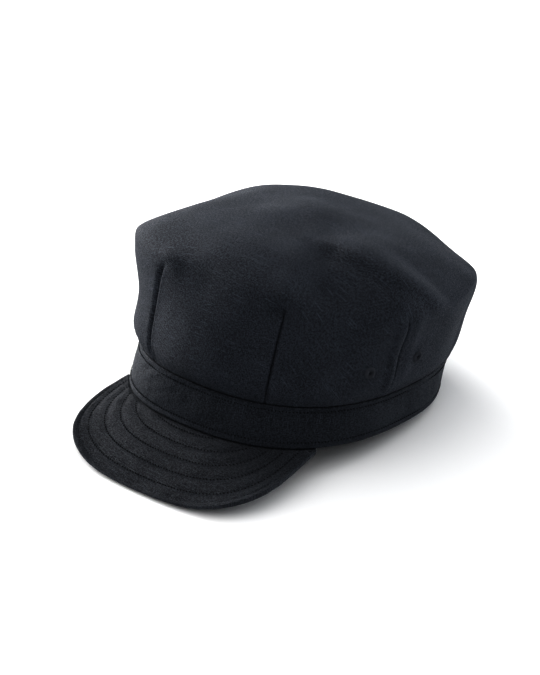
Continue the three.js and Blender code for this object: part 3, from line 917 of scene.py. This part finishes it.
class CAP_OT_band(bpy.types.Operator):
    """Adds the band: an upright strip of doubled cloth, sewn along both edges"""
    bl_idname = "cap.band"
    bl_label = "Band"

    def execute(self, context):
        sizes, look = context.scene.cap_sizes, context.scene.cap_look
        sections, rings = BAND_GRID
        azimuth = np.linspace(-180, 180, sections + 1)[:-1, None]
        share_up = np.linspace(0, 1, rings + 1)[None, :]
        height, corner = sizes.band_height, BAND_CORNER
        face = self.face(azimuth, share_up, sizes)
        normal = face_normals(face)
        edge = np.minimum(share_up, 1 - share_up) * height
        rounding = corner - np.sqrt(np.maximum(corner ** 2 - np.maximum(corner - edge, 0) ** 2, 0))
        rows_at = np.array([BAND_ROWS[0], height - BAND_ROWS[1]])
        apart = np.min(np.abs(share_up[..., None] * height - rows_at), axis=-1)
        quilted = relief(apart, BAND_GROOVE, BAND_PUFF)
        wave = unevenness(face, BAND_SWELLS) * smoothstep(edge, 0, 0.004)
        outer = face + normal * (quilted - rounding + wave)[..., None]
        inner = face - normal * sizes.band_wall
        points = np.concatenate([outer[:, ::-1], inner], axis=1)
        run = azimuth * DEGREE * (BAND_LENGTH + BAND_WIDTH) / 4 + 0 * share_up
        flat = np.stack([run, share_up * height + 0 * run], -1)
        cloth = np.concatenate([flat[:, ::-1], flat], axis=1)
        most, reach = BAND_WEAR
        wear = np.concatenate([most * bell(apart[:, ::-1], reach) + 0 * run, 0 * run], axis=1)
        piece = skin("band_cloth", press_flat(place(points)), cloth, loop=True, wear=wear)
        twill = cloth_material("band_twill", look.band_colour, look, grain=0.4, turned=True)
        dress(piece, twill, "band_cloth", "band")
        rows = []
        for at in rows_at / height:
            i = int(round(at * rings))
            line = face[:, i] + quilted[..., i, None] * normal[:, i]
            line = np.concatenate([line, line[:1]])
            facing = np.concatenate([normal[:, i], normal[:1, i]])
            rows.append((press_flat(place(line)), tilt(facing)))
        thread = thread_material("band_thread", look.thread_colour, 0.15)
        dress(stitches("band_stitches", rows, sizes), thread, "band_cloth")
        return {"FINISHED"}

    def face(self, azimuth, share_up, sizes):
        """The band's outer face, straight from its lower oval to its upper one"""
        low = polar(azimuth, band_rim(azimuth), 0.0)
        high = polar(azimuth, band_rim(azimuth, top=True), sizes.band_height, BAND_LEAN)
        return low + (high - low) * share_up[..., None]


class CAP_OT_brim(bpy.types.Operator):
    """Adds the brim: two cloths over a thin stiffener, quilted with rows of stitches"""
    bl_idname = "cap.brim"
    bl_label = "Brim"

    def execute(self, context):
        sizes, look = context.scene.cap_sizes, context.scene.cap_look
        thickness = sizes.brim_thickness
        sections, rings = BRIM_GRID
        t = np.linspace(-1, 1, sections + 1)[:, None]
        azimuth = t * BRIM_HALF_ANGLE
        rim = band_rim(azimuth)
        seam = polar(azimuth, rim, 0.0)
        root = polar(azimuth, rim - BRIM_TUCK, 0.0)
        edge = self.edge(t, sizes)[:, None]
        across = edge - seam
        far = np.linalg.norm(across, axis=-1, keepdims=True)
        inner_edge = edge - across / far * np.minimum(thickness / 2, far * 0.4)
        share_out = np.linspace(0, 1, rings + 1)[None, :, None]
        plan = np.concatenate([root, seam + (inner_edge - seam) * share_out], axis=1)
        plan[..., 2] = self.height(plan, sizes)
        normal = -face_normals(plan, around=False)
        normal *= np.sign(normal[..., 2:])
        rows = self.stitch_rows(sizes)
        apart = self.distance(plan, [points for points, _ in rows])
        quilted = relief(apart, BRIM_GROOVE, BRIM_PUFF)
        from_edge_seam = self.distance(plan, [self.edge(t, sizes, BRIM_EDGE_SEAM)])
        from_band = np.linalg.norm((plan - seam)[..., :2], axis=-1)
        for distance, (depth, reach) in ((from_edge_seam, BRIM_EDGE_GROOVE), (from_band, BRIM_ROOT_GROOVE)):
            quilted = quilted - depth * bell(distance, reach)
        wave = unevenness(plan, BRIM_SWELLS) * smoothstep(np.arange(plan.shape[1]), 1, 5)
        upper = plan + normal * (quilted + wave)[..., None]
        lower = plan - normal * (thickness + 0.5 * quilted - wave)[..., None]
        rise, out = normal[:, -1], (edge - inner_edge)[:, 0]
        middle = (upper[:, -1] + lower[:, -1]) / 2
        half = np.linalg.norm(upper[:, -1] - lower[:, -1], axis=-1, keepdims=True) / 2
        turns = np.array([1, 2, 3, 5, 6, 7]) * math.pi / 8
        bulge = np.stack([middle + rise * half * math.cos(a) + out * math.sin(a) for a in turns], axis=1)
        points = np.concatenate([upper, bulge, lower[:, ::-1]], axis=1)
        most, reach = BRIM_WEAR
        worn = np.zeros(points.shape[:2])
        worn[:, :plan.shape[1]] = most * bell(apart, reach)
        worn[:, plan.shape[1]:plan.shape[1] + 5] = BRIM_EDGE_WEAR
        piece = skin("brim_cloth", press_flat(place(points)), points[..., :2], around=False, loop=True,
                     wear=worn)
        dress(piece, cloth_material("brim_twill", look.brim_colour, look, grain=1.35), "brim_cloth", "brim")
        thread = thread_material("brim_thread", look.thread_colour, 0.15)
        placed = [(place(line + BRIM_STITCH_LIFT * facing), tilt(facing)) for line, facing in rows]
        dress(stitches("brim_stitches", placed, sizes), thread, "brim_cloth")
        return {"FINISHED"}

    def edge(self, t, sizes, inset=0.0):
        """The brim's outer edge in plan, t from -1 at one end to 1 at the other, or a rounder line within"""
        t = np.ravel(t)
        radius = band_rim(BRIM_HALF_ANGLE) + BRIM_END
        end = polar(np.float64(BRIM_HALF_ANGLE), radius, 0.0)
        front = -(BAND_LENGTH / 2 + sizes.brim_reach - inset)
        power = 2 / (BRIM_SQUARENESS - BRIM_ROW_ROUNDING * inset)
        across = np.abs(np.sin(t * math.pi / 2)) ** power
        ahead = np.maximum(np.cos(t * math.pi / 2), 0)
        x = np.sign(t) * (end[0] - BRIM_ROW_NARROWING * inset) * across * (1 + BRIM_FLARE * ahead)
        y = end[1] + (front - end[1]) * ahead ** power
        return np.stack([x, y, 0 * x], -1)

    def height(self, points, sizes):
        """The brim's upper face falls with the distance ahead of the band, and less at the sides"""
        x, y = points[..., 0], points[..., 1]
        sideways = np.clip(np.abs(x) / (BAND_WIDTH / 2), 0, 1)
        band_front = -(BAND_LENGTH / 2) * (1 - sideways ** OVAL_POWER) ** (1 / OVAL_POWER)
        end_x = band_rim(BRIM_HALF_ANGLE) * math.sin(BRIM_HALF_ANGLE * DEGREE)
        slope = sizes.brim_slope + (BRIM_SIDE_SLOPE - sizes.brim_slope) * (x / end_x) ** 2
        ahead = np.maximum(band_front - y, 0)
        sag = 1 + BRIM_SAG * (1 - np.clip(ahead / sizes.brim_reach, 0, 1))
        return -GAP - slope * sag * ahead

    def stitch_rows(self, sizes):
        """Rows along the outer edge, each a step further in, as far as they lie ahead of the band"""
        t = np.linspace(-1, 1, 1201)
        rows = []
        for k in range(1, BRIM_ROWS + 1):
            line = self.edge(t, sizes, sizes.brim_row_pitch * k)
            azimuth = np.degrees(np.arctan2(line[:, 0], -line[:, 1]))
            rim = band_rim(azimuth)
            ahead = np.hypot(line[:, 0], line[:, 1]) > rim + BRIM_ROW_CLEARANCE
            ahead &= np.abs(azimuth) < BRIM_HALF_ANGLE
            if not ahead.any():
                continue
            first, last = np.flatnonzero(ahead)[[0, -1]]
            line = line[first:last + 1]
            line[:, 2] = self.height(line, sizes)
            rows.append((line, self.normals(line, sizes)))
        return rows

    def normals(self, line, sizes):
        """Normals of the brim's upper face, from its height a short step to each side"""
        step = 0.0005
        shifted = [line + np.array(move) for move in ((step, 0, 0), (0, step, 0))]
        rises = [(self.height(points, sizes) - line[:, 2]) / step for points in shifted]
        return unit(np.stack([-rises[0], -rises[1], np.ones(len(line))], -1))

    def distance(self, points, lines):
        """Each point's distance in plan from the nearest of the lines"""
        flat = points[..., :2].reshape(-1, 2)
        nearest = np.full(len(flat), 1.0)
        for line in lines:
            for spot in line[::3, :2]:
                nearest = np.minimum(nearest, np.hypot(*(flat - spot).T))
        return nearest.reshape(points.shape[:-1])


class CAP_OT_eyelets(bpy.types.Operator):
    """Adds the sewn eyelets low in the crown's sides"""
    bl_idname = "cap.eyelets"
    bl_label = "Eyelets"

    def execute(self, context):
        sizes, look = context.scene.cap_sizes, context.scene.cap_look
        thread = thread_material("eyelet_thread", look.eyelet_colour, 0.6)
        for name, azimuth, level in EYELETS:
            seat, normal = self.seat(azimuth, level, sizes)
            dress(self.ring(name, seat, normal, sizes), thread, "eyelet_thread", name)
        return {"FINISHED"}

    def seat(self, azimuth, level, sizes):
        """Where an eyelet sits on the crown's plain face, and the normal there"""
        spread = np.array([[azimuth - 0.5] * 3, [azimuth] * 3, [azimuth + 0.5] * 3])
        rise = np.array([[level - 0.05, level, level + 0.05]] * 3)
        points = crown_points(spread, rise, sizes)
        normal = np.cross(points[2, 1] - points[0, 1], points[1, 2] - points[1, 0])
        return points[1, 1], unit(normal)

    def ring(self, name, seat, normal, sizes):
        """Thread sewn round a hole: its spokes stand out as ridges of slightly uneven length"""
        hole, outer = sizes.eyelet_hole / 2, sizes.eyelet_diameter / 2
        foot = -(sizes.crown_wall + 0.0006)
        edge_share, out, foot_share, up = np.array(EYELET_SECTION).T
        reach = hole + (outer - hole) * edge_share + out * MM
        rise = foot * foot_share + up * MM
        angle = np.linspace(0, 2 * math.pi, EYELET_SPOKES * 5 + 1)[:-1, None]
        side = unit(np.cross(normal, (0, 0, 1.0)))
        over = np.cross(normal, side)
        chance = np.random.default_rng(len(name))
        uneven = np.repeat(chance.uniform(-0.15, 0.15, EYELET_SPOKES), 5)[:, None] * MM
        ridge = 0.13 * MM * np.cos(angle * EYELET_SPOKES)
        radius = (reach + uneven * (reach > outer - 0.6 * MM))[..., None]
        height = (rise + ridge * np.clip((rise + 0.2 * MM) / (0.4 * MM), 0, 1))[..., None]
        angle = angle[..., None]
        points = seat + radius * (np.cos(angle) * side + np.sin(angle) * over) + height * normal
        return skin(name + "_thread", place(points), points[..., :2], loop=True)


class CAP_PT_panel(bpy.types.Panel):
    """Lists the cap's pieces and settings"""
    bl_idname = "CAP_PT_panel"
    bl_label = "Railroad Engineer Cap"
    bl_space_type = "VIEW_3D"
    bl_region_type = "UI"
    bl_category = "Cap"

    def draw(self, context):
        for operator in OPERATORS:
            self.layout.operator(operator.bl_idname)
        for name in GROUPS:
            group = getattr(context.scene, name)
            for key in group.bl_rna.properties.keys():
                if key not in ("name", "rna_type"):
                    self.layout.prop(group, key)


GROUPS = {"cap_sizes": CapSizes, "cap_look": CapLook, "cap_stage": CapStage}
OPERATORS = (CAP_OT_stage, CAP_OT_crown, CAP_OT_band, CAP_OT_brim, CAP_OT_eyelets)


def register():
    for cls in (*GROUPS.values(), *OPERATORS, CAP_PT_panel):
        bpy.utils.register_class(cls)
    for name, group in GROUPS.items():
        setattr(bpy.types.Scene, name, bpy.props.PointerProperty(type=group))


def unregister():
    for name in GROUPS:
        delattr(bpy.types.Scene, name)
    for cls in (CAP_PT_panel, *reversed(OPERATORS), *GROUPS.values()):
        bpy.utils.unregister_class(cls)


def main():
    register()
    bpy.ops.cap.stage()
    bpy.ops.cap.crown()
    bpy.ops.cap.band()
    bpy.ops.cap.brim()
    bpy.ops.cap.eyelets()


if __name__ == "__main__":
    main()
